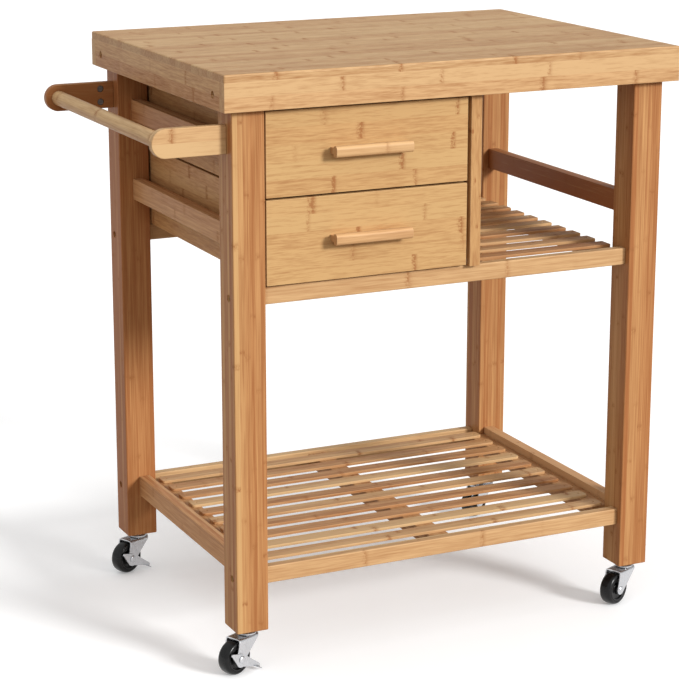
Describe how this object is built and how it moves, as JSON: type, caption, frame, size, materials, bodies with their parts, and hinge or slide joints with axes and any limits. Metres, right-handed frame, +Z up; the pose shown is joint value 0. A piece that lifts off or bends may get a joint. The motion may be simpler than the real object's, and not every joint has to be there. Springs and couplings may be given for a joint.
{
  "type": "rolling utility cart",
  "caption": "Bamboo kitchen cart with a worktop, drawers beside an open slatted bay, a slatted lower shelf, a towel bar and swivel casters.",
  "frame": {"origin": "middle of the footprint, on the floor that the wheels stand on", "axes": "+Z up, +X to the right seen from the front, +Y from the drawer fronts to the back"},
  "size_m": [0.804, 0.535, 0.86],
  "materials": {
    "worktop": "satin clear lacquer on laminated bamboo",
    "legs": "satin clear lacquer on laminated bamboo",
    "rails": "satin clear lacquer on laminated bamboo",
    "slats": "satin clear lacquer on laminated bamboo",
    "panels": "satin clear lacquer on laminated bamboo",
    "towel_handle": "satin clear lacquer on laminated bamboo",
    "pulls": "satin clear lacquer on laminated bamboo",
    "fasteners": "zinc-plated steel",
    "zinc": "bright zinc-plated pressed steel",
    "wheels": "black moulded nylon"
  },
  "bodies": {
    "root": {"top_panel": "worktop", "apron_front": "worktop", "apron_back": "worktop", "apron_left": "worktop", "apron_right": "worktop", "leg_front_left": "legs", "leg_front_right": "legs", "leg_back_left": "legs", "leg_back_right": "legs", "drawer_rail_left": "rails", "side_rail_left": "rails", "side_rail_right": "rails", "low_side_rail_left": "rails", "low_side_rail_right": "rails", "mid_rail_front": "rails", "mid_rail_back": "rails", "low_rail_front": "rails", "low_rail_back": "rails", "mid_battens": "rails", "low_battens": "rails", "runners": "rails", "mid_slats": "slats", "low_slats": "slats", "divider": "panels", "back_panel": "panels", "bar_arm_front": "towel_handle", "bar_arm_back": "towel_handle", "towel_bar": "towel_handle", "bar_bolts": "fasteners", "barrel_nuts": "fasteners", "rail_bolts": "fasteners", "apron_screws": "fasteners", "slat_screws": "fasteners", "caster_stems": "zinc"},
    "upper_drawer": {"upper_front": "panels", "upper_sides": "panels", "upper_back": "panels", "upper_bottom": "panels", "upper_pull": "pulls", "upper_screws": "fasteners"},
    "lower_drawer": {"lower_front": "panels", "lower_sides": "panels", "lower_back": "panels", "lower_bottom": "panels", "lower_pull": "pulls", "lower_screws": "fasteners"},
    "swivel_front_left": {"fork_front_left": "zinc", "axle_front_left": "zinc"},
    "rolling_front_left": {"wheel_front_left": "wheels"},
    "lever_front_left": {"brake_front_left": "zinc"},
    "swivel_front_right": {"fork_front_right": "zinc", "axle_front_right": "zinc"},
    "rolling_front_right": {"wheel_front_right": "wheels"},
    "swivel_back_left": {"fork_back_left": "zinc", "axle_back_left": "zinc"},
    "rolling_back_left": {"wheel_back_left": "wheels"},
    "lever_back_left": {"brake_back_left": "zinc"},
    "swivel_back_right": {"fork_back_right": "zinc", "axle_back_right": "zinc"},
    "rolling_back_right": {"wheel_back_right": "wheels"}
  },
  "joints": [
    {"name": "upper_drawer_slide", "type": "slide", "parent": "root", "child": "upper_drawer", "axis": [0, -1, 0], "range_m": [0, 0.28]},
    {"name": "lower_drawer_slide", "type": "slide", "parent": "root", "child": "lower_drawer", "axis": [0, -1, 0], "range_m": [0, 0.28]},
    {"name": "swivel_turn_front_left", "type": "hinge", "parent": "root", "child": "swivel_front_left", "pos_m": [-0.271, -0.2215, 0.052], "axis": [0, 0, 1], "continuous": true},
    {"name": "wheel_turn_front_left", "type": "hinge", "parent": "swivel_front_left", "child": "rolling_front_left", "pos_m": [-0.29493, -0.23166, 0.025], "axis": [0.3907, -0.9205, 0], "continuous": true},
    {"name": "brake_lift_front_left", "type": "hinge", "parent": "swivel_front_left", "child": "lever_front_left", "pos_m": [-0.29493, -0.23166, 0.025], "axis": [0.3907, -0.9205, 0], "range_deg": [0, 25]},
    {"name": "swivel_turn_front_right", "type": "hinge", "parent": "root", "child": "swivel_front_right", "pos_m": [0.361, -0.2215, 0.052], "axis": [0, 0, 1], "continuous": true},
    {"name": "wheel_turn_front_right", "type": "hinge", "parent": "swivel_front_right", "child": "rolling_front_right", "pos_m": [0.33707, -0.23166, 0.025], "axis": [0.3907, -0.9205, 0], "continuous": true},
    {"name": "swivel_turn_back_left", "type": "hinge", "parent": "root", "child": "swivel_back_left", "pos_m": [-0.271, 0.2265, 0.052], "axis": [0, 0, 1], "continuous": true},
    {"name": "wheel_turn_back_left", "type": "hinge", "parent": "swivel_back_left", "child": "rolling_back_left", "pos_m": [-0.29493, 0.21634, 0.025], "axis": [0.3907, -0.9205, 0], "continuous": true},
    {"name": "brake_lift_back_left", "type": "hinge", "parent": "swivel_back_left", "child": "lever_back_left", "pos_m": [-0.29493, 0.21634, 0.025], "axis": [0.3907, -0.9205, 0], "range_deg": [0, 25]},
    {"name": "swivel_turn_back_right", "type": "hinge", "parent": "root", "child": "swivel_back_right", "pos_m": [0.361, 0.2265, 0.052], "axis": [0, 0, 1], "continuous": true},
    {"name": "wheel_turn_back_right", "type": "hinge", "parent": "swivel_back_right", "child": "rolling_back_right", "pos_m": [0.33707, 0.21634, 0.025], "axis": [0.3907, -0.9205, 0], "continuous": true}
  ]
}
